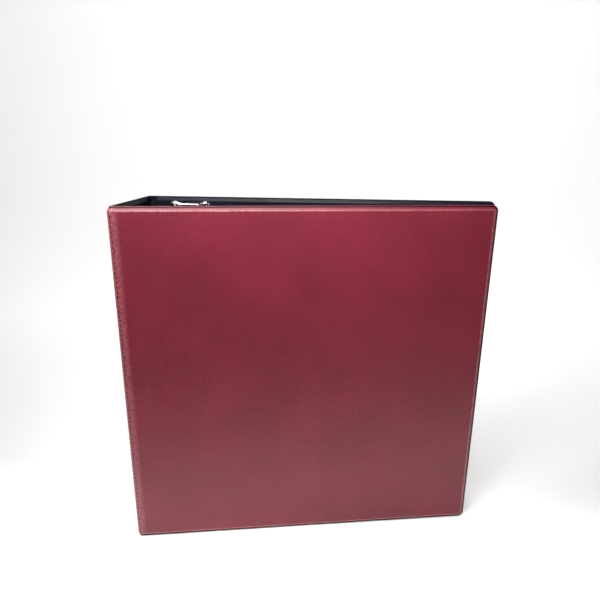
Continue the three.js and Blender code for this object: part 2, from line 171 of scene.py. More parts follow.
# Plate, levers, pins and rivets
PLATE_SHEET = 1.0
PLATE_SHOULDER = 7.3
PLATE_CLEARANCE = 0.3
PLATE_FILLET = 1.3
FILLET_STEPS = 6
CROWN_STEPS = 24
CROWN_HALF_LENGTH = 119.0
CROWN_CUT = 1.2
SLOT_SIDE_CLEARANCE = 0.6
SLOT_INNER_CLEARANCE = 0.9
SLOT_OUTER_CLEARANCE = 2.2
HOLE_CLEARANCE = 0.2
CUTTER_OVERLAP = 2.0
PIERCED_EDGE = 0.18
LEVER_PIVOT_HEIGHT = 4.3
LEVER_FROM_CENTRE = 122.2
LEVER_LENGTH = 24.0
LEVER_LEAN = math.radians(30)
LEVER_HALF_WIDTH = 17.0
LEVER_NECK = 12.0
LEVER_FLARE = 10.0
LEVER_EAR = 4.0
LEVER_EAR_LEAST = 0.4
LEVER_EAR_REACH = 3.0
LEVER_EAR_FADE = 2.0
LEVER_DIP = 2.2
LEVER_DIP_BEND = 6.0
LEVER_FULLNESS = 0.35
LEVER_INNERMOST = 4.0
KNUCKLE_RADIUS = 2.4
KNUCKLE_HALF_LENGTH = 18.3
KNUCKLE_EDGE = 0.35
PIN_RADIUS = 1.0
PIN_HEAD = 1.9
PIN_HEAD_THICKNESS = 0.8
PIN_OVERHANG = 0.3
RIVET_RADIUS = 3.0
RIVET_HEAD = 5.5
RIVET_DOME = 1.3
RIVET_GAP = 0.05

RING_PLACES = (("upper", RING_SPACING), ("middle", 0.0), ("lower", -RING_SPACING))
RIVET_PLACES = (("upper", RING_SPACING / 2), ("lower", -RING_SPACING / 2))
ENDS = (("upper", 1), ("lower", -1))


def place(x, y, z):
    """A point of the drawing frame, in the frame's metres."""
    return ORIGIN + Vector((x, y, z)) * MM


def mechanism(x, y, z):
    """A point of the ring mechanism's frame, in the frame's metres."""
    return place(MECHANISM_FROM_SPINE - x, -PANEL_THICKNESS - y, z)


# ---- mesh tools ----------------------------------------------------------------------


def new_piece(name, points, faces, smooth_below=35):
    """A mesh object with its faces pointing out and its edges sharp above an angle."""
    mesh = bpy.data.meshes.new(name)
    mesh.from_pydata(points, [], faces)
    work = bmesh.new()
    work.from_mesh(mesh)
    bmesh.ops.recalc_face_normals(work, faces=work.faces)
    work.to_mesh(mesh)
    work.free()
    mesh.shade_smooth()
    mesh.set_sharp_from_angle(angle=math.radians(smooth_below))
    piece = bpy.data.objects.new(name, mesh)
    bpy.context.scene.collection.objects.link(piece)
    return piece


def finish_piece(piece, body, material, slot, *nodes):
    """Gives a rigid piece its material and body, and hides what it replaces. Its slot is not used."""
    piece.data.materials.clear()
    piece.data.materials.append(material)
    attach(piece, body)
    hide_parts(*nodes)
    return piece


def lofted(rings):
    """Points and faces of a closed body through rings of equally many points."""
    sides = len(rings[0])
    points = [point for ring in rings for point in ring]
    faces = [tuple(range(sides)), tuple(range(len(points) - sides, len(points)))]
    for first in range(0, len(points) - sides, sides):
        for side in range(sides):
            after = (side + 1) % sides
            faces.append((first + side, first + after, first + sides + after, first + sides + side))
    return points, faces


def joined(*bodies):
    """Points and faces of several closed bodies as one mesh."""
    points, faces = [], []
    for more_points, more_faces in bodies:
        start = len(points)
        points += more_points
        faces += [tuple(start + index for index in face) for face in more_faces]
    return points, faces


def turned(profile, to_point, sides=36):
    """A body turned about an axis, through (radius, height) rings."""
    rings = []
    for radius, height in profile:
        turns = [2 * math.pi * side / sides for side in range(sides)]
        rings.append([to_point(radius * math.cos(a), radius * math.sin(a), height) for a in turns])
    return lofted(rings)


def domed(radius, start, end, centre_ratio=0.12):
    """Profile rings of a low dome that rises from its rim at start to its top at end."""
    steps = 6
    rings = []
    for step in range(steps + 1):
        angle = QUARTER * step / steps
        across = max(math.cos(angle), centre_ratio)
        rings.append((radius * across, start + (end - start) * math.sin(angle)))
    return rings


# ---- vinyl sheets --------------------------------------------------------------------


def rounded_step(x, start, end, ease):
    """0 before start and 1 after end, straight between them, with both bends eased."""
    rise = math.hypot(x - start, ease) - math.hypot(x - end, ease)
    return rise / (2 * (end - start)) + 0.5


class Fold:
    """The outer face of a cover, its round hinge corner and half the spine, as one line.

    A place on the line is told by q. On the cover, q is the distance from the corner where
    the two faces would meet. It falls on through the round corner and along the spine.
    """

    def __init__(self, corner, cover_way, cover_inward, spine_way):
        self.corner = Vector(corner)
        self.cover_way = Vector(cover_way)
        self.cover_inward = Vector(cover_inward)
        self.spine_way = Vector(spine_way)
        angle = self.cover_way.angle(self.spine_way)
        self.turn = math.pi - angle
        self.tangent = HINGE_RADIUS / math.tan(angle / 2)
        self.spine_start = self.tangent - HINGE_RADIUS * self.turn
        self.middle = self.on_spine(SPINE_DEPTH / 2)
        self.centre = (
            self.corner + self.cover_way * self.tangent + self.cover_inward * HINGE_RADIUS
        )

    def on_spine(self, distance):
        """The q of a place on the spine at that distance from the corner."""
        return self.spine_start + self.tangent - distance

    def inward(self, q):
        """The inward normal at q."""
        turned_by = min(max((self.tangent - q) / HINGE_RADIUS, 0), self.turn)
        return self.cover_inward * math.cos(turned_by) + self.cover_way * math.sin(turned_by)

    def outer(self, q):
        """The point of the outer face at q."""
        if q >= self.tangent:
            return self.corner + self.cover_way * q
        if q <= self.spine_start:
            return self.corner + self.spine_way * (self.tangent + self.spine_start - q)
        return self.centre - self.inward(q) * HINGE_RADIUS

    def from_corner(self, q):
        """How far q is from the corner along its own face, and 0 in the round part."""
        if q >= self.tangent:
            return q
        if q <= self.spine_start:
            return self.tangent + self.spine_start - q
        return 0.0


def edge_distance(q, z):
    """How far a place on a cover is from the nearest of its top, bottom and fore-edge."""
    from_fore_edge = COVER_WIDTH - q
    from_end = COVER_HEIGHT / 2 - abs(z)
    if from_fore_edge < CORNER_RADIUS and from_end < CORNER_RADIUS:
        return CORNER_RADIUS - math.hypot(CORNER_RADIUS - from_fore_edge, CORNER_RADIUS - from_end)
    return min(from_fore_edge, from_end)


def corner_loss(q):
    """How much the round corner takes off the cover's half height at q."""
    inside = q - (COVER_WIDTH - CORNER_RADIUS)
    if inside <= 0:
        return 0.0
    return CORNER_RADIUS - math.sqrt(max(CORNER_RADIUS**2 - inside**2, 0))


def rim_share(q, z):
    """1 on the rim, where the sheets are joined by welding, and 0 past the bevel."""
    return 1 - rounded_step(edge_distance(q, z), RIM_WIDTH, BEVEL_END, BEVEL_EASE)


def channel_share(fold, q):
    """1 in the hinge's channel and 0 where the boards are."""
    return 1 - rounded_step(fold.from_corner(q), CHANNEL_END, BOARD_START, CHANNEL_EASE)


def cut_edge(q, z):
    """The rounding of the sheet's cut edge, which thins it to nearly nothing."""
    over = min(max(0.0, 1 - edge_distance(q, z) / CUT_EDGE), 1.0)
    return CUT_THINNING * SHEET * (1 - math.sqrt(1 - over * over))


def drawn_tight(q, z):
    """The slight unevenness of the outer sheet where it is drawn over its board."""
    long_wave = math.sin(q / 31 + 0.6) * math.sin(z / 43 + 1.1)
    short_wave = math.sin(q / 13 - z / 37) * math.sin(z / 17 + q / 53)
    return TIGHT_LONG_WAVE * long_wave + TIGHT_SHORT_WAVE * short_wave


def loose(q, z):
    """The ripples of the inner sheet, which lies loose over its board."""
    long_wave = math.sin(q / 23 + 1.7 * math.sin(z / 61)) * math.sin(z / 39 + 0.4)
    short_wave = math.sin(q / 9.5 + z / 31) * math.sin(z / 15 - q / 44)
    return LOOSE_LONG_WAVE * long_wave + LOOSE_SHORT_WAVE * short_wave


def outer_depth(fold, q, z):
    rim, channel = rim_share(q, z), channel_share(fold, q)
    board = (1 - rim) * (1 - channel)
    sunk = RIM_DEPTH * rim + CHANNEL_DEPTH * channel * (1 - rim)
    return sunk + board * drawn_tight(q, z)


def inner_depth(fold, q, z):
    rim, channel = rim_share(q, z), channel_share(fold, q)
    board = (1 - rim) * (1 - channel)
    to_rim = PANEL_THICKNESS - RIM_DEPTH - WELD_THICKNESS
    to_channel = PANEL_THICKNESS - CHANNEL_DEPTH - WELD_THICKNESS
    raised = to_rim * rim + to_channel * channel * (1 - rim)
    return PANEL_THICKNESS - raised - board * abs(loose(q, z))


def spaced(start, end, step):
    """Even places from start up to, but not at, end."""
    count = max(1, round(abs(end - start) / step))
    return [start + (end - start) * index / count for index in range(count)]


def columns(fold):
    """Places along the fold: close where the sheet bends and wide apart on the flats."""
    bend_end = BOARD_START + BEND_MARGIN
    bend_start = fold.on_spine(bend_end)
    bevel_start = COVER_WIDTH - CORNER_RADIUS - CORNER_MARGIN
    return (
        spaced(fold.middle, bend_start, FLAT_STEP)
        + spaced(bend_start, bend_end, BEND_STEP)
        + spaced(bend_end, bevel_start, FLAT_STEP)
        + spaced(bevel_start, COVER_WIDTH - CUT_EDGE, BEVEL_STEP)
        + spaced(COVER_WIDTH - CUT_EDGE, COVER_WIDTH, CUT_STEP)
        + [COVER_WIDTH]
    )


def rows():
    """Heights across the sheet: close on the bevels and wide apart between them."""
    half = COVER_HEIGHT / 2
    bevel = BEVEL_END + BEND_MARGIN
    upper = (
        spaced(half - bevel, half - CUT_EDGE, BEVEL_STEP)
        + spaced(half - CUT_EDGE, half, CUT_STEP)
        + [half]
    )
    lower = [-height for height in reversed(upper)]
    return lower[:-1] + spaced(-(half - bevel), half - bevel, FLAT_STEP) + upper


def row_height(z, q):
    """The height of a row at q: rows near a round corner follow it."""
    from_end = COVER_HEIGHT / 2 - abs(z)
    share = max(0.0, 1 - from_end / CORNER_REACH)
    return math.copysign(abs(z) - corner_loss(q) * share, z)


def sheet(name, fold, depth, thickness):
    """A closed sheet along a fold: its seen face at depth, and its hidden face behind it."""
    across, up = columns(fold), rows()
    points, places = [], []
    for hidden in (0, 1):
        for q in across:
            outer, inward = fold.outer(q), fold.inward(q)
            for row in up:
                z = row_height(row, q)
                thinned = math.copysign(cut_edge(q, z), thickness)
                spot = outer + inward * (depth(fold, q, z) + (thickness if hidden else thinned))
                points.append(place(spot.x, spot.y, z))
                places.append((q, z))
    height, back = len(up), len(across) * len(up)
    faces = []
    for column in range(len(across) - 1):
        for row in range(height - 1):
            corner = column * height + row
            quad = (corner, corner + height, corner + height + 1, corner + 1)
            faces.append(quad)
            faces.append(tuple(back + index for index in reversed(quad)))
    rim = list(range(0, back, height))
    rim += list(range(back - height + 1, back))
    rim += list(range(back - height - 1, -1, -height))
    rim += list(range(height - 2, 0, -1))
    for first, second in zip(rim, rim[1:] + rim[:1]):
        faces.append((first, back + first, back + second, second))
    piece = new_piece(name, points, faces)
    add_places(piece, places)
    add_shares(piece, fold, places)
    return piece


def add_places(piece, places):
    """Stores each corner's place on the flat sheet, in metres, as the UV map."""
    layer = piece.data.uv_layers.new(name="sheet")
    for loop in piece.data.loops:
        q, z = places[loop.vertex_index]
        layer.data[loop.index].uv = (q * MM, z * MM)


def fore_and_lower_edges(q, z):
    """1 along the fore-edge and the lower edge, where the album is held and stood and where the pale
    crest's painted highlight is made stronger, else 0.
    """
    from_fore_edge = COVER_WIDTH - q
    from_bottom = COVER_HEIGHT / 2 + z
    return 1.0 if min(from_fore_edge, from_bottom) < COVER_HEIGHT / 2 - z else 0.0


def add_shares(piece, fold, places):
    """Stores the weld line, where shade is painted dark, and where the sheet is painted paler over a
    board's edge, as wear and as a painted highlight.
    """
    weld_line_shade, wear_and_highlight = [], []
    for q, z in places:
        from_edge = edge_distance(q, z)
        # The weld line's mask: where painted shade darkens the rim.
        weld_line_shade.append(math.exp(-(((from_edge - WELD_LINE) / WELD_HALF_WIDTH) ** 2)))
        # The crest over a board's edge and the hinge channel: painted paler, as wear and as a painted
        # highlight.
        over_edge = math.exp(-(((from_edge - BEVEL_END) / CREST_HALF_WIDTH) ** 2))
        over_edge *= TOP_WEAR_AND_HIGHLIGHT + (1 - TOP_WEAR_AND_HIGHLIGHT) * fore_and_lower_edges(q, z)
        wear_and_highlight.append(max(over_edge, HINGE_WEAR_AND_HIGHLIGHT * channel_share(fold, q)))
    for name, values in (("weld_line_shade", weld_line_shade), ("wear_and_highlight", wear_and_highlight)):
        attribute = piece.data.attributes.new(name, "FLOAT", "POINT")
        attribute.data.foreach_set("value", values)


def blend_over(piece):
    """Bakes the piece's placement into its mesh."""
    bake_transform(piece)


def dressed_cover(side, fold, vinyl, liner, weld):
    """The outer sheet, inner sheet and weld marks of one cover and its half of the spine."""
    cover = side + "_cover"
    outer = sheet(side + "_outer_sheet", fold, outer_depth, SHEET)
    outer.data.materials.append(vinyl)
    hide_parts(cover + "_vinyl", side + "_hinge_strip", "spine_vinyl")
    inner = sheet(side + "_inner_sheet", fold, inner_depth, -SHEET)
    inner.data.materials.append(liner)
    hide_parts(cover + "_liner", "spine_liner")
    marks = weld_marks(side + "_hinge_weld_marks", fold)
    marks.data.materials.append(weld)
    for piece in (outer, inner, marks):
        blend_over(piece)


def weld_marks(name, fold):
    """The row of short pressed marks where the two sheets are joined by welding along a hinge."""
    q = fold.tangent - MARK_TURN * fold.turn * HINGE_RADIUS
    depth = outer_depth(fold, q, 0)
    half = COVER_HEIGHT / 2 - BEVEL_END - MARK_PITCH
    count = round(2 * half / MARK_PITCH)
    marks = []
    for index in range(count + 1):
        z = -half + 2 * half * index / count
        marks.append(lofted([
            mark_ring(fold, q, z, 0.0, depth + SHEET / 3),
            mark_ring(fold, q, z, 0.0, depth - MARK_PROUD / 2),
            mark_ring(fold, q, z, MARK_WIDTH / 6, depth - MARK_PROUD),
        ]))
    return new_piece(name, *joined(*marks))


def mark_ring(fold, q, z, inset, depth):
    """One stadium-shaped outline of a weld mark at a depth."""
    half_width = MARK_WIDTH / 2 - inset
    straight = (MARK_LENGTH - MARK_WIDTH) / 2
    ring = []
    for side in range(MARK_SIDES):
        angle = 2 * math.pi * side / MARK_SIDES
        end = 1 if side < MARK_SIDES / 2 else -1
        spot = q + half_width * math.cos(angle)
        height = z + half_width * math.sin(angle) + end * straight
        point = fold.outer(spot) + fold.inward(spot) * depth
        ring.append(place(point.x, point.y, height))
    return ring


# ---- rings ---------------------------------------------------------------------------


def straight_line(start, end, count):
    """(point, direction) places from start up to, but not at, end."""
    start, end = Vector(start), Vector(end)
    way = (end - start).normalized()
    return [(start.lerp(end, index / count), way) for index in range(count)]


def bezier(start, first, second, end, count):
    """(point, direction) places along a cubic curve, up to but not at its end."""
    start, first, second, end = Vector(start), Vector(first), Vector(second), Vector(end)
    places = []
    for index in range(count):
        t = index / count
        s = 1 - t
        point = start * s**3 + first * 3 * s * s * t + second * 3 * s * t * t + end * t**3
        way = (first - start) * s * s + (second - first) * 2 * s * t + (end - second) * t * t
        places.append((point, way.normalized()))
    return places


def arc(centre, radius, start, end, count):
    """(point, direction) places along an arc, up to but not at its end."""
    centre = Vector(centre)
    sense = math.copysign(1, end - start)
    places = []
    for index in range(count):
        angle = start + (end - start) * index / count
        out = Vector((math.cos(angle), math.sin(angle)))
        places.append((centre + out * radius, Vector((-out.y, out.x)) * sense))
    return places


def bowed_line():
    """The bowed half: out of the plate, around towards the spine, and over the top."""
    root = (LEG_OFFSET, ROOT_HEIGHT + TIP_LEAD)
    shoulder = (LEG_OFFSET, PLATE_SHOULDER)
    bulge = (BULGE_OFFSET, BULGE_HEIGHT)
    tip = (JOINT_GAP + TIP_LEAD, RING_TOP)
    foot_pull = (LEG_OFFSET + BOW_FOOT_PULL[0], PLATE_HEIGHT + BOW_FOOT_PULL[1])
    lower = bezier(shoulder, foot_pull, (BULGE_OFFSET, BULGE_HEIGHT - BOW_LOWER_PULL), bulge, 20)
    tip_pull = (LEG_OFFSET + BOW_TIP_PULL, RING_TOP)
    upper = bezier(bulge, (BULGE_OFFSET, BULGE_HEIGHT + BOW_UPPER_PULL), tip_pull, tip, 28)
    return straight_line(root, shoulder, 2) + lower + upper


def post_line():
    """The post: straight up, then over a tight bend."""
    root = (-LEG_OFFSET, ROOT_HEIGHT + TIP_LEAD)
    bend = (-LEG_OFFSET, RING_TOP - POST_BEND)
    centre = (POST_BEND - LEG_OFFSET, RING_TOP - POST_BEND)
    over = (centre[0], RING_TOP)
    return (
        straight_line(root, bend, 10)
        + arc(centre, POST_BEND, math.pi, QUARTER, 14)
        + straight_line(over, (-JOINT_GAP - TIP_LEAD, RING_TOP), 2)
    )


def root_rings(offset):
    """(point, direction, radius) rings of a root: staked head, spigot and shoulder."""
    up = Vector((0, 1))
    steps = (
        (STAKED_HEIGHT, STAKED_RADIUS - 0.6), (STAKED_HEIGHT + 0.1, STAKED_RADIUS - 0.2),
        (STAKED_HEIGHT + 0.3, STAKED_RADIUS), (STAKED_HEIGHT + 0.6, STAKED_RADIUS),
        (STAKED_HEIGHT + 0.68, SPIGOT_RADIUS), (ROOT_HEIGHT, SPIGOT_RADIUS),
        (ROOT_HEIGHT, WIRE_RADIUS - 0.2),
    )
    return [(Vector((offset, height)), up, radius) for height, radius in steps]


def tip_rings(side, steps):
    """(point, direction, radius) rings of a tip, with each step told from the gap's face."""
    way = Vector((-side, 0))
    return [
        (Vector((side * (JOINT_GAP - beyond), RING_TOP)), way, radius) for beyond, radius in steps
    ]


def tongue_tip():
    """The bowed half ends in a tongue."""
    return tip_rings(1, (
        (-TIP_LEAD, WIRE_RADIUS), (-0.05, WIRE_RADIUS - 0.06), (0, WIRE_RADIUS - 0.25),
        (0, TONGUE_RADIUS), (TONGUE_LENGTH - 0.25, TONGUE_RADIUS), (TONGUE_LENGTH, TONGUE_RADIUS - 0.3),
    ))


def socket_tip():
    """The post ends in a socket for the tongue."""
    bore = TONGUE_RADIUS + SOCKET_CLEARANCE
    return tip_rings(-1, (
        (-TIP_LEAD, WIRE_RADIUS), (-0.05, WIRE_RADIUS - 0.06), (0, WIRE_RADIUS - 0.25),
        (0, bore + 0.1), (-0.1, bore), (-TONGUE_LENGTH - 0.4, bore),
    ))


def wire(rings, z):
    """A round wire through (point, direction, radius) rings, at a height."""
    loops = []
    for point, way, radius in rings:
        across = Vector((-way.y, way.x))
        loop = []
        for side in range(WIRE_SIDES):
            angle = 2 * math.pi * side / WIRE_SIDES
            spot = point + across * radius * math.cos(angle)
            loop.append(mechanism(spot.x, spot.y, z + radius * math.sin(angle)))
        loops.append(loop)
    return lofted(loops)


def ring_half(name, line, offset, tip, z):
    body = [(point, way, WIRE_RADIUS) for point, way in line]
    return new_piece(name, *wire(root_rings(offset) + body + tip, z))


def rings(nickel):
    for height_name, z in RING_PLACES:
        bow = ring_half(height_name + "_bow_wire", bowed_line(), LEG_OFFSET, tongue_tip(), z)
        finish_piece(bow, "spine_side_rail", nickel, "nickel_plate", height_name + "_ring_bow")
        post = ring_half(height_name + "_post_wire", post_line(), -LEG_OFFSET, socket_tip(), z)
        finish_piece(post, "fore_edge_rail", nickel, "nickel_plate", height_name + "_ring_post")


# ---- plate ---------------------------------------------------------------------------


def plate_line():
    """(point, outward) places along the middle of the plate's sheet, from wall to wall."""
    rise = PLATE_HEIGHT - PLATE_SHOULDER
    radius = (PLATE_HALF_WIDTH**2 + rise**2) / (2 * rise)
    centre = Vector((0, PLATE_HEIGHT - radius))
    middle = radius - PLATE_SHEET / 2
    wall = PLATE_HALF_WIDTH - PLATE_SHEET / 2
    fillet_x = wall - PLATE_FILLET
    fillet_y = centre.y + math.sqrt((middle - PLATE_FILLET) ** 2 - fillet_x**2)
    meet = math.atan2(fillet_y - centre.y, fillet_x)
    right = [(Vector((wall, PLATE_CLEARANCE)), Vector((1, 0)))]
    for step in range(FILLET_STEPS + 1):
        angle = meet * step / FILLET_STEPS
        out = Vector((math.cos(angle), math.sin(angle)))
        right.append((Vector((fillet_x, fillet_y)) + out * PLATE_FILLET, out))
    crown = []
    for step in range(1, CROWN_STEPS):
        angle = meet + (math.pi - 2 * meet) * step / CROWN_STEPS
        out = Vector((math.cos(angle), math.sin(angle)))
        crown.append((centre + out * middle, out))
    left = [(Vector((-p.x, p.y)), Vector((-out.x, out.y))) for p, out in reversed(right)]
    return right + crown + left


def plate_body():
    """The plate before it is pierced: its bent section, drawn out along its length."""
    line = plate_line()
    outline = [point + out * PLATE_SHEET / 2 for point, out in line]
    outline += [point - out * PLATE_SHEET / 2 for point, out in reversed(line)]
    count = len(line)
    total = 2 * count
    points = [
        mechanism(spot.x, spot.y, z)
        for z in (-PLATE_HALF_LENGTH, PLATE_HALF_LENGTH) for spot in outline
    ]
    faces = []
    for index in range(total):
        after = (index + 1) % total
        faces.append((index, after, total + after, total + index))
    for index in range(count - 1):
        cap = (index, index + 1, total - 2 - index, total - 1 - index)
        faces.append(cap)
        faces.append(tuple(total + corner for corner in cap))
    return points, faces


def stadium(x0, x1, z, half_width):
    """A cutter with round ends, long across the plate."""
    rings = []
    for height in (PLATE_SHOULDER - CUTTER_OVERLAP, PLATE_HEIGHT + CUTTER_OVERLAP):
        ring = []
        for side in range(24):
            angle = 2 * math.pi * (side + 0.5) / 24
            middle = x1 - half_width if math.cos(angle) > 0 else x0 + half_width
            x = middle + half_width * math.cos(angle)
            ring.append(mechanism(x, height, z + half_width * math.sin(angle)))
        rings.append(ring)
    return lofted(rings)


def block(x, y, z):
    """A plain block between pairs of bounds, in the mechanism's frame."""
    corners = ((x[0], z[0]), (x[1], z[0]), (x[1], z[1]), (x[0], z[1]))
    return lofted([[mechanism(a, height, b) for a, b in corners] for height in y])


def crosswise(radius, half_length, y, z):
    """A plain cylinder across the mechanism."""
    profile = ((radius, -half_length), (radius, half_length))
    return turned(profile, lambda a, b, h: mechanism(h, y + a, z + b), sides=24)


def plate_cutters():
    """Everything that is cut out of the plate: ring slots, open ends, pin and rivet holes."""
    slot_half_width = WIRE_RADIUS + SLOT_SIDE_CLEARANCE
    slot_inner = LEG_OFFSET - WIRE_RADIUS - SLOT_INNER_CLEARANCE
    slot_outer = LEG_OFFSET + WIRE_RADIUS + SLOT_OUTER_CLEARANCE
    cutters = []
    for _, z in RING_PLACES:
        cutters.append(stadium(slot_inner, slot_outer, z, slot_half_width))
        cutters.append(stadium(-slot_outer, -slot_inner, z, slot_half_width))
    wide = PLATE_HALF_WIDTH + CUTTER_OVERLAP
    crown = (PLATE_SHOULDER - CROWN_CUT, PLATE_HEIGHT + CUTTER_OVERLAP)
    pin_hole = PIN_RADIUS + HOLE_CLEARANCE
    rivet_hole = RIVET_RADIUS + HOLE_CLEARANCE
    for _, end in ENDS:
        length = sorted((end * CROWN_HALF_LENGTH, end * (PLATE_HALF_LENGTH + CUTTER_OVERLAP)))
        cutters.append(block((-wide, wide), crown, length))
        cutters.append(crosswise(pin_hole, wide, LEVER_PIVOT_HEIGHT, end * LEVER_FROM_CENTRE))
    for _, z in RIVET_PLACES:
        cutters.append(stadium(-rivet_hole, rivet_hole, z, rivet_hole))
    return joined(*cutters)


def pierced(piece, cutters):
    """Cuts the cutters out of a piece and rounds the new edges."""
    tool = new_piece("cutters", *cutters)
    cut = piece.modifiers.new("cut", "BOOLEAN")
    cut.operation = "DIFFERENCE"
    cut.solver = "EXACT"
    cut.object = tool
    ease = piece.modifiers.new("ease", "BEVEL")
    ease.width = PIERCED_EDGE * MM
    ease.segments = 2
    ease.limit_method = "ANGLE"
    ease.angle_limit = math.radians(50)
    bpy.context.view_layer.update()
    seen = piece.evaluated_get(bpy.context.evaluated_depsgraph_get())
    mesh = bpy.data.meshes.new_from_object(seen)
    piece.modifiers.clear()
    piece.data = mesh
    mesh.shade_smooth()
    mesh.set_sharp_from_angle(angle=math.radians(35))
    bpy.data.objects.remove(tool)
    return piece


def plate(nickel):
    arch = pierced(new_piece("arched_plate", *plate_body()), plate_cutters())
    finish_piece(arch, "back_cover", nickel, "nickel_plate", "ring_plate")


# ---- levers, pins and rivets ---------------------------------------------------------


def handle_outline(inset):
    """The handle's outline as (across, along): a neck, two round ears and a dip between."""
    half, neck = LEVER_HALF_WIDTH - inset, LEVER_NECK - inset
    ear = max(LEVER_EAR - inset, LEVER_EAR_LEAST)
    tip = LEVER_LENGTH - inset
    widest = LEVER_LENGTH - LEVER_FLARE
    side = [(neck, 0), ((neck + half) / 2, widest / 2), (half, widest)]
    side += [(half, (widest + tip - ear) / 2)]
    centre = half - ear
    for step in range(9):
        angle = QUARTER * step / 8
        side.append((centre + ear * math.cos(angle), tip - ear + ear * math.sin(angle)))
    for step in range(1, 9):
        share = step / 8
        fall = share * share * (3 - 2 * share)
        side.append((centre - LEVER_DIP_BEND * share, tip - LEVER_DIP * fall))
    inner = centre - LEVER_DIP_BEND
    middle = [(inner * (1 - 2 * step / 6), tip - LEVER_DIP) for step in range(1, 6)]
    mirrored = [(-across, along) for across, along in reversed(side)]
    base = [(neck * (2 * step / 6 - 1), 0) for step in range(1, 6)]
    return side + middle + mirrored + base


def lever_point(end, across, off, along):
    """A point of the leaning handle: across it, off its face and along it from the pin."""
    y = off * math.cos(LEVER_LEAN) + along * math.sin(LEVER_LEAN)
    z = along * math.cos(LEVER_LEAN) - off * math.sin(LEVER_LEAN)
    return mechanism(end * across, LEVER_PIVOT_HEIGHT + y, end * (LEVER_FROM_CENTRE + z))


def handle(end):
    """The pressed handle: its edge is rolled over, fullest at the ears, and it is hollow below."""
    section = (
        (4.2, 0.25), (2.4, 0.2), (1.7, 0.0), (1.25, -0.5), (1.1, -1.3),
        (0.9, -1.45), (0.25, -1.45), (0.05, -1.3), (0.0, -0.5), (0.15, 0.25),
        (0.55, 0.85), (1.15, 1.22), (1.9, 1.38), (2.9, 1.4), (4.2, 1.36),
    )
    fullest = handle_outline(0)
    rings = []
    for inset, off in section:
        ring = []
        for (across, along), inner in zip(fullest, handle_outline(inset)):
            fullness = LEVER_FULLNESS + (1 - LEVER_FULLNESS) * ear_share(across, along)
            pulled_in = fullness if inset < LEVER_INNERMOST else 1
            spot = Vector((across, along)).lerp(Vector(inner), pulled_in)
            ring.append(lever_point(end, spot.x, off * fullness if off > 0 else off, spot.y))
        rings.append(ring)
    return lofted(rings)


def ear_share(across, along):
    """1 around the handle's two ears and 0 elsewhere on its outline."""
    ear = Vector((LEVER_HALF_WIDTH - LEVER_EAR, LEVER_LENGTH - LEVER_EAR))
    apart = (Vector((abs(across), along)) - ear).length
    return min(max((LEVER_EAR + LEVER_EAR_REACH - apart) / LEVER_EAR_FADE, 0), 1)


def knuckle(end):
    """The rolled end that turns about the pin."""
    half, ease = KNUCKLE_HALF_LENGTH, KNUCKLE_EDGE
    profile = (
        (KNUCKLE_RADIUS - ease, -half), (KNUCKLE_RADIUS, -half + ease),
        (KNUCKLE_RADIUS, half - ease), (KNUCKLE_RADIUS - ease, half),
    )
    z = end * LEVER_FROM_CENTRE
    return turned(profile, lambda a, b, h: mechanism(h, LEVER_PIVOT_HEIGHT + a, z + b))


def foot(end):
    """The tongue under the rails that lifts them."""
    half_width, length, thickness, top = 5.0, 10.0, 1.1, 2.0
    z = sorted((end * LEVER_FROM_CENTRE, end * (LEVER_FROM_CENTRE - length)))
    return block((-half_width, half_width), (top - thickness, top), z)


def pin(end):
    """The lever's pin, with a low head at both ends."""
    shank, head = PLATE_HALF_WIDTH + PIN_OVERHANG, PIN_HEAD_THICKNESS
    profile = [(0.4 * PIN_HEAD, -shank - head), (0.85 * PIN_HEAD, -shank - 0.8 * head)]
    profile += [(PIN_HEAD, -shank - 0.3 * head), (PIN_HEAD, -shank), (PIN_RADIUS, -shank)]
    profile += [(radius, -height) for radius, height in reversed(profile)]
    z = end * LEVER_FROM_CENTRE
    return turned(profile, lambda a, b, h: mechanism(h, LEVER_PIVOT_HEIGHT + a, z + b))


def rivet(z):
    """A mounting rivet, domed outside the cover and over the plate."""
    outside, inside = -PANEL_THICKNESS - RIVET_GAP, PLATE_HEIGHT + RIVET_GAP
    profile = list(reversed(domed(RIVET_HEAD, outside, outside - RIVET_DOME)))
    profile += [(RIVET_RADIUS, outside), (RIVET_RADIUS, inside)]
    profile += domed(RIVET_HEAD, inside, inside + RIVET_DOME)
    return turned(profile, lambda a, b, h: mechanism(a, h, z + b), sides=44)


def fittings(nickel, steel):
    for name, end in ENDS:
        body = name + "_lever"
        lever = new_piece(name + "_lever_handle", *joined(handle(end), knuckle(end), foot(end)))
        finish_piece(lever, body, nickel, "nickel_plate", name + "_lever")
        axle = new_piece(name + "_pin", *pin(end))
        finish_piece(axle, "back_cover", steel, "rail_steel", name + "_lever_pin")
    for name, z in RIVET_PLACES:
        stud = new_piece(name + "_rivet", *rivet(z))
        finish_piece(stud, "back_cover", nickel, "nickel_plate", name + "_mounting_rivet")


# ---- materials -----------------------------------------------------------------------


# Colours are linear, and grain sizes and edges are millimetres
BURGUNDY = (0.150, 0.0105, 0.0235)
WORN_AND_HIGHLIT_PINK = (0.46, 0.19, 0.20, 1.0)
# The pale pink over the boards' edges: partly wear, partly a painted highlight.
DUST = (0.45, 0.25, 0.24, 1.0)
# Painted shade: near-black along the weld line of the rim.
WELD_LINE_PAINTED_SHADE = (0.010, 0.0015, 0.003, 1.0)
LINER_BLACK = (0.0030, 0.0030, 0.0060)
# The grey of the liner's crests: partly wear, partly a painted highlight.
LINER_WORN_AND_HIGHLIT = (0.09, 0.09, 0.10, 1.0)
COVER_GRAIN = 0.95
LINER_GRAIN = 1.3
RAIL_EDGE = 0.15


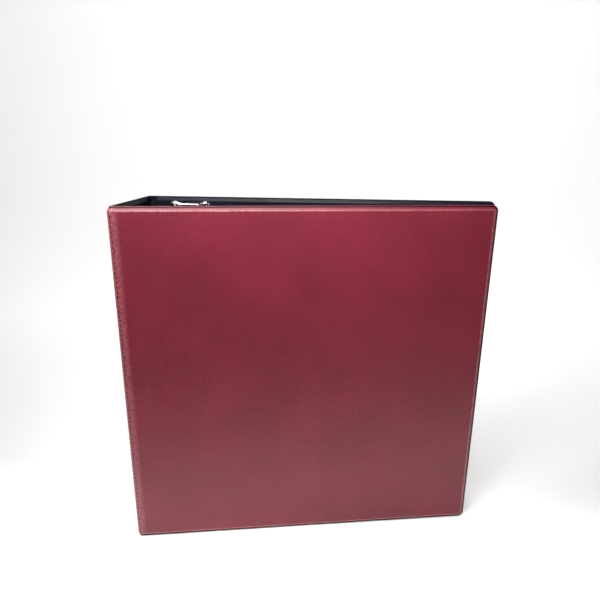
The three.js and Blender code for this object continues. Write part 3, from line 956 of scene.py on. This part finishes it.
class Shader:
    """A node material: adds nodes, joins them and ends in a Principled BSDF."""

    def __init__(self, name):
        self.material = bpy.data.materials.new(name)
        self.material.use_nodes = True
        self.tree = self.material.node_tree
        self.surface = self.tree.nodes["Principled BSDF"]

    def node(self, kind, inputs=None, **settings):
        node = self.tree.nodes.new("ShaderNode" + kind)
        for key, value in settings.items():
            setattr(node, key, value)
        self.feed(node, inputs or {})
        return node

    def feed(self, node, inputs):
        for key, value in inputs.items():
            if isinstance(value, bpy.types.NodeSocket):
                self.tree.links.new(value, node.inputs[key])
            else:
                node.inputs[key].default_value = value

    def math(self, operation, first, second=0.0):
        return self.node("Math", {0: first, 1: second}, operation=operation).outputs[0]

    def ranged(self, value, low, high, to_low, to_high):
        inputs = {
            "Value": value, "From Min": low, "From Max": high, "To Min": to_low, "To Max": to_high,
        }
        return self.node("MapRange", inputs).outputs["Result"]

    def mixed(self, share, first, second, blend="MIX"):
        node = self.node("Mix", data_type="RGBA", blend_type=blend)
        sockets = [socket for socket in node.inputs if socket.enabled]
        for socket, value in zip(sockets, (share, first, second)):
            if isinstance(value, bpy.types.NodeSocket):
                self.tree.links.new(value, socket)
            else:
                socket.default_value = value
        return [socket for socket in node.outputs if socket.enabled][0]

    def millimetres(self, output):
        """A texture coordinate output, turned from metres into millimetres."""
        coordinates = self.node("TexCoord")
        inputs = {0: coordinates.outputs[output], "Scale": 1 / MM}
        return self.node("VectorMath", inputs, operation="SCALE").outputs[0]

    def noise(self, vector, size, detail=2.0, roughness=0.5):
        """Soft noise with features of that size in millimetres."""
        inputs = {"Vector": vector, "Scale": 1 / size, "Detail": detail, "Roughness": roughness}
        return self.node("TexNoise", inputs).outputs["Fac"]

    def attribute(self, name):
        return self.node("Attribute", attribute_name=name).outputs["Fac"]

    def bump(self, height, distance, strength=1.0):
        inputs = {"Height": height, "Distance": distance * MM, "Strength": strength}
        return self.node("Bump", inputs).outputs["Normal"]


def shade(colour, factor):
    return tuple(channel * factor for channel in colour) + (1.0,)


def leather_grain(shader, vector, size):
    """Height of an embossed leather grain: soft pebbles with finer creases between them."""
    wander = shader.node("TexNoise", {"Vector": vector, "Scale": 0.7 / size, "Detail": 2.0})
    pulled = shader.node(
        "VectorMath", {0: wander.outputs["Color"], "Scale": 0.9 * size}, operation="SCALE"
    )
    bent = shader.node("VectorMath", {0: vector, 1: pulled.outputs[0]}, operation="ADD").outputs[0]
    pebbles = shader.node(
        "TexVoronoi", {"Vector": bent, "Scale": 1 / size, "Smoothness": 0.35}, feature="SMOOTH_F1"
    ).outputs["Distance"]
    creases = shader.node(
        "TexVoronoi", {"Vector": bent, "Scale": 0.62 / size}, feature="DISTANCE_TO_EDGE"
    ).outputs["Distance"]
    pebble_height = shader.ranged(pebbles, 0.0, 0.75, 1.0, 0.0)
    crease_height = shader.ranged(creases, 0.0, 0.16, 0.0, 1.0)
    tooth = shader.noise(vector, 0.22 * size, detail=3.0)
    whole = shader.math("MULTIPLY_ADD", pebble_height, 0.5)
    shader.feed(whole.node, {2: shader.math("MULTIPLY", crease_height, 0.35)})
    return shader.math("ADD", whole, shader.math("MULTIPLY", tooth, 0.25))


def cover_vinyl():
    """Burgundy vinyl with a fine leather grain, paler over the boards' edges as wear and as a painted
    highlight, with painted shade along the weld line.
    """
    shader = Shader("burgundy_vinyl")
    flat = shader.millimetres("UV")
    grain = leather_grain(shader, flat, COVER_GRAIN)
    dull = shade(BURGUNDY, 0.80)
    lively = shade(BURGUNDY, 1.12)
    patches = shader.noise(flat, 55, detail=3.0, roughness=0.6)
    base = shader.mixed(shader.ranged(patches, 0.3, 0.7, 0.0, 1.0), dull, lively)
    base = shader.mixed(shader.ranged(grain, 0.35, 0.75, 0.35, 0.0), base, shade(BURGUNDY, 0.45))
    breakup = shader.ranged(shader.noise(flat, 2.6, detail=4.0), 0.35, 0.65, 0.2, 1.0)
    # Painted highlight and wear: the crests over the boards' edges and the hinge channel are mixed
    # towards pale pink.
    wear_and_highlight = shader.math("MULTIPLY", shader.attribute("wear_and_highlight"), breakup)
    base = shader.mixed(shader.math("MULTIPLY", wear_and_highlight, 0.98), base, WORN_AND_HIGHLIT_PINK)
    specks = shader.node("TexVoronoi", {"Vector": flat, "Scale": 1 / 30}, feature="F1")
    speck = shader.ranged(specks.outputs["Distance"], 0.010, 0.016, 0.5, 0.0)
    base = shader.mixed(speck, base, DUST)
    # Painted shade: the weld line along the rim is mixed towards near-black.
    weld_line_shade = shader.attribute("weld_line_shade")
    base = shader.mixed(shader.math("MULTIPLY", weld_line_shade, 0.95), base, WELD_LINE_PAINTED_SHADE)
    smears = shader.noise(flat, 18, detail=4.0, roughness=0.65)
    roughness = shader.ranged(smears, 0.3, 0.7, 0.36, 0.46)
    normal = shader.bump(grain, 0.10)
    shader.feed(shader.surface, {
        "Base Color": base, "Roughness": roughness, "Normal": normal,
        "Specular IOR Level": shader.ranged(weld_line_shade, 0.0, 1.0, 0.36, 0.05),
    })
    return shader.material


def liner_vinyl():
    """Black vinyl with a low gloss, a shallow grain and faint handling marks."""
    shader = Shader("black_liner_vinyl")
    flat = shader.millimetres("UV")
    grain = leather_grain(shader, flat, LINER_GRAIN)
    patches = shader.noise(flat, 40, detail=3.0)
    base = shader.mixed(patches, shade(LINER_BLACK, 1), shade(LINER_BLACK, 2))
    # The liner's crests follow the same mask: a faint grey that is partly wear, partly a painted
    # highlight.
    wear_and_highlight = shader.math("MULTIPLY", shader.attribute("wear_and_highlight"), 0.15)
    base = shader.mixed(wear_and_highlight, base, LINER_WORN_AND_HIGHLIT)
    marks = shader.noise(flat, 9, detail=5.0, roughness=0.7)
    shader.feed(shader.surface, {
        "Base Color": base, "Roughness": shader.ranged(marks, 0.3, 0.7, 0.36, 0.46),
        "Normal": shader.bump(grain, 0.02), "Specular IOR Level": 0.05,
    })
    return shader.material


def weld_vinyl():
    """The darker, flattened vinyl of the weld marks."""
    shader = Shader("welded_vinyl")
    spots = shader.noise(shader.millimetres("Object"), 0.8)
    base = shader.mixed(spots, (0.018, 0.004, 0.006, 1.0), (0.035, 0.008, 0.012, 1.0))
    shader.feed(shader.surface, {
        "Base Color": base, "Roughness": 0.5, "Normal": shader.bump(spots, 0.02),
        "Specular IOR Level": 0.2,
    })
    return shader.material


def nickel_plate():
    """Bright nickel plate with fine hairlines and a slightly uneven polish."""
    shader = Shader("nickel_plate")
    solid = shader.millimetres("Object")
    cloud = shader.noise(solid, 6, detail=3.0)
    drawn = shader.node("Mapping", {"Vector": solid, "Scale": (4.0, 4.0, 0.3)}).outputs[0]
    hairlines = shader.noise(drawn, 0.5, detail=4.0, roughness=0.7)
    base = shader.mixed(cloud, (0.74, 0.72, 0.68, 1.0), (0.83, 0.82, 0.79, 1.0))
    shader.feed(shader.surface, {
        "Base Color": base, "Metallic": 1.0,
        "Roughness": shader.ranged(cloud, 0.3, 0.7, 0.09, 0.18),
        "Normal": shader.bump(hairlines, 0.0015),
    })
    return shader.material


def rail_steel():
    """Zinc-plated sheet steel, brushed along the rails."""
    shader = Shader("zinc_plated_steel")
    solid = shader.millimetres("Object")
    drawn = shader.node("Mapping", {"Vector": solid, "Scale": (3.0, 3.0, 0.08)}).outputs[0]
    grain = shader.noise(drawn, 0.8, detail=5.0, roughness=0.7)
    cloud = shader.noise(solid, 14, detail=3.0)
    base = shader.mixed(cloud, (0.46, 0.47, 0.49, 1.0), (0.60, 0.61, 0.62, 1.0))
    shader.feed(shader.surface, {
        "Base Color": base, "Metallic": 1.0,
        "Roughness": shader.ranged(grain, 0.3, 0.7, 0.26, 0.42),
        "Normal": shader.bump(grain, 0.006),
    })
    return shader.material


def chipboard():
    """Grey-brown board: pressed fibres with darker flecks."""
    shader = Shader("grey_chipboard")
    solid = shader.millimetres("Object")
    fibres = shader.noise(solid, 0.9, detail=5.0, roughness=0.75)
    flecks = shader.noise(solid, 3.5, detail=2.0)
    base = shader.mixed(fibres, (0.20, 0.17, 0.13, 1.0), (0.36, 0.32, 0.25, 1.0))
    base = shader.mixed(shader.ranged(flecks, 0.62, 0.72, 0.0, 0.6), base, (0.10, 0.08, 0.06, 1.0))
    shader.feed(shader.surface, {
        "Base Color": base, "Roughness": 0.92, "Normal": shader.bump(fibres, 0.08),
    })
    return shader.material


def studio_white():
    shader = Shader("studio_white")
    faint = shader.noise(shader.millimetres("Object"), 300, detail=2.0)
    base = shader.mixed(faint, (0.86, 0.855, 0.85, 1.0), (0.89, 0.885, 0.88, 1.0))
    shader.feed(shader.surface, {"Base Color": base, "Roughness": 0.9, "Specular IOR Level": 0.1})
    return shader.material


def dress_cad_nodes(board, steel):
    """Materials for the CAD nodes that stay, and eased edges on the two rails."""
    for name in ("back_cover_board", "spine_board", "front_cover_board"):
        frame["nodes"][name].data.materials.clear()
        frame["nodes"][name].data.materials.append(board)
    for name in ("spine_side_rail", "fore_edge_rail"):
        rail = frame["nodes"][name]
        rail.data.materials.clear()
        rail.data.materials.append(steel)
        ease = rail.modifiers.new("ease", "BEVEL")
        ease.width = RAIL_EDGE * MM
        ease.limit_method = "ANGLE"
        ease.angle_limit = math.radians(50)


# ---- studio --------------------------------------------------------------------------

# The floor's sizes, in metres like the lamps' places
BOWL_MIDDLE = 0.02
BOWL_FLOOR = 0.95
BOWL_CURVE = 0.7
BOWL_TOP = 1.5
BOWL_SIDES = 96
BOWL_STEPS = 12
AIR_GLOW = 0.02

# The camera, in the drawing frame: in front, a little right of the middle, looking down
EYE = (173.3, -453.8, 190.2)
EYE_TURN = math.radians(4.595)
EYE_DOWN = math.radians(16.763)
EYE_ROLL = math.radians(0.491)
LENS = 30.913


def bowl():
    """The pale floor, curving up all round into a wall."""
    profile = [(BOWL_MIDDLE, 0.0), (BOWL_FLOOR, 0.0)]
    for step in range(1, BOWL_STEPS + 1):
        angle = QUARTER * step / BOWL_STEPS
        out, up = BOWL_CURVE * math.sin(angle), BOWL_CURVE * (1 - math.cos(angle))
        profile.append((BOWL_FLOOR + out, up))
    profile.append((BOWL_FLOOR + BOWL_CURVE, BOWL_TOP))
    points, faces = [], []
    for radius, height in profile:
        for side in range(BOWL_SIDES):
            angle = 2 * math.pi * side / BOWL_SIDES
            points.append((radius * math.cos(angle), radius * math.sin(angle), height))
    for first in range(0, len(points) - BOWL_SIDES, BOWL_SIDES):
        for side in range(BOWL_SIDES):
            corner, after = first + side, first + (side + 1) % BOWL_SIDES
            faces.append((corner, after, BOWL_SIDES + after, BOWL_SIDES + corner))
    faces.append(tuple(reversed(range(BOWL_SIDES))))
    mesh = bpy.data.meshes.new("studio_floor")
    mesh.from_pydata(points, [], faces)
    mesh.shade_smooth()
    mesh.materials.append(studio_white())
    floor = bpy.data.objects.new("studio_floor", mesh)
    bpy.context.scene.collection.objects.link(floor)


def aim(thing, position, target):
    thing.location = position
    thing.rotation_mode = "QUATERNION"
    thing.rotation_quaternion = (Vector(target) - Vector(position)).to_track_quat("-Z", "Y")


def area_light(name, position, target, size, power, spread, colour=(1.0, 1.0, 1.0)):
    data = bpy.data.lights.new(name, "AREA")
    data.spread = math.radians(spread)
    data.shape = "RECTANGLE"
    data.size, data.size_y = size
    data.energy = power
    data.color = colour
    lamp = bpy.data.objects.new(name, data)
    bpy.context.scene.collection.objects.link(lamp)
    aim(lamp, position, target)


def world():
    """Almost no light from all round: the lamps do the work."""
    sky = bpy.data.worlds.new("studio_air")
    sky.use_nodes = True
    sky.node_tree.nodes["Background"].inputs["Strength"].default_value = AIR_GLOW
    bpy.context.scene.world = sky


def lights():
    """A white wall and table behind, a bright foot, and three lamps in front of the cover."""
    area_light(
        "backdrop", position=(0.0, 0.35, 1.25), target=(0.0, 1.5, 0.35),
        size=(1.6, 0.5), power=14.8, spread=138,
    )
    area_light(
        "table", position=(0.0, 0.50, 1.3), target=(0.0, 0.40, 0.0),
        size=(1.8, 0.9), power=2.6, spread=70,
    )
    area_light(
        "foot", position=(-0.17, -0.14, 0.95), target=(-0.17, -0.10, 0.0),
        size=(1.1, 0.10), power=0.78, spread=15, colour=(1.0, 0.98, 0.95),
    )
    area_light(
        "overhead", position=(-0.08, -0.31, 0.64), target=(-0.06, -0.05, 0.19),
        size=(0.5, 0.10), power=0.97, spread=76,
    )
    area_light(
        "upper", position=(-0.10, -0.50, 0.72), target=(-0.04, -0.045, 0.38),
        size=(0.3, 0.1), power=0.33, spread=24,
    )
    area_light(
        "left", position=(-0.43, -0.61, 0.65), target=(0.0, -0.04, 0.10),
        size=(0.25, 0.25), power=0.26, spread=60,
    )


def camera():
    data = bpy.data.cameras.new("camera")
    data.sensor_width = 36.0
    data.lens = LENS
    data.clip_start, data.clip_end = 0.01, 20.0
    eye = bpy.data.objects.new("camera", data)
    bpy.context.scene.collection.objects.link(eye)
    eye.location = place(*EYE)
    turn = Matrix.Rotation(EYE_TURN, 4, "Z")
    tilt = Matrix.Rotation(QUARTER - EYE_DOWN, 4, "X")
    roll = Matrix.Rotation(EYE_ROLL, 4, "Z")
    eye.rotation_mode = "QUATERNION"
    eye.rotation_quaternion = (turn @ tilt @ roll).to_quaternion()
    bpy.context.scene.camera = eye


# ---- the whole -----------------------------------------------------------------------


def album():
    vinyl, liner, weld = cover_vinyl(), liner_vinyl(), weld_vinyl()
    nickel, steel, board = nickel_plate(), rail_steel(), chipboard()
    lean = (math.cos(WEDGE), math.sin(WEDGE))
    front = Fold((0, -SPINE_DEPTH), lean, (-lean[1], lean[0]), (0, 1))
    back = Fold((0, 0), (1, 0), (0, -1), (0, -1))
    dressed_cover("front", front, vinyl, liner, weld)
    dressed_cover("back", back, vinyl, liner, weld)
    plate(nickel)
    rings(nickel)
    fittings(nickel, steel)
    dress_cad_nodes(board, steel)


bpy.context.scene.view_settings.view_transform = "Standard"
camera()
bowl()
world()
lights()
album()
